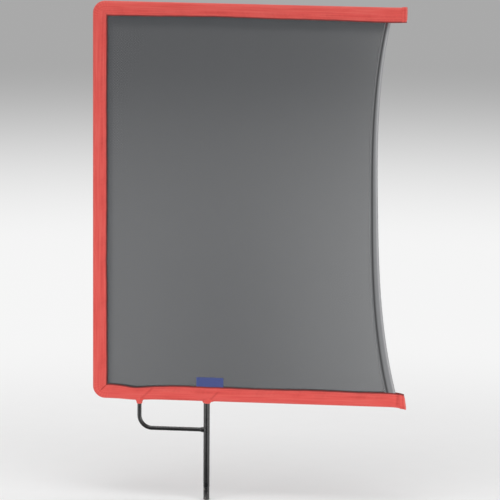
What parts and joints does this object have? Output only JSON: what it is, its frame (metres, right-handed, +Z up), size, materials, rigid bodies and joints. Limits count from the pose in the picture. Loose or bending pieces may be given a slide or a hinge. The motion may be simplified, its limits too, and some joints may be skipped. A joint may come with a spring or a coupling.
{
  "type": "net flag",
  "caption": "Open-end net flag: a double net in a red canvas binding on a bent steel rod frame, with a round mounting pin and an L-shaped brace below.",
  "frame": {"origin": "centre of the mounting pin's lower end face", "axes": "+Z up along the pin, +X along the frame's arms towards the open side, -Y out of the net's front; the net lies in the XZ plane"},
  "size_m": [0.478, 0.0116, 0.7644],
  "materials": {
    "frame_steel": "semi-gloss black paint over steel rod and welds",
    "pin_steel": "semi-gloss black oxide, rubbed brighter near the foot",
    "red_canvas": "plain-woven cotton canvas, matt",
    "black_net": "fine black bobbinet, see-through",
    "hem_net": "net and edge tape folded and sewn over a cord",
    "grey_cord": "thin braided cord",
    "zinc_ferrule": "crimped, dull",
    "blue_label": "woven ribbon, bare"
  },
  "bodies": {
    "root": {"frame_rod": "frame_steel", "pin": "pin_steel", "brace": "frame_steel", "weld_pin_to_arm": "frame_steel", "weld_brace_to_arm": "frame_steel", "weld_brace_to_pin": "frame_steel", "casing_bottom": "red_canvas", "casing_spine": "red_canvas", "casing_top": "red_canvas", "boot_pin": "red_canvas", "boot_brace": "red_canvas", "end_patch_bottom": "red_canvas", "end_patch_top": "red_canvas", "net_front": "black_net", "net_back": "black_net", "edge_hem": "hem_net", "edge_cord": "grey_cord", "ferrule_top": "zinc_ferrule", "ferrule_bottom": "zinc_ferrule", "label": "blue_label"}
  },
  "joints": []
}
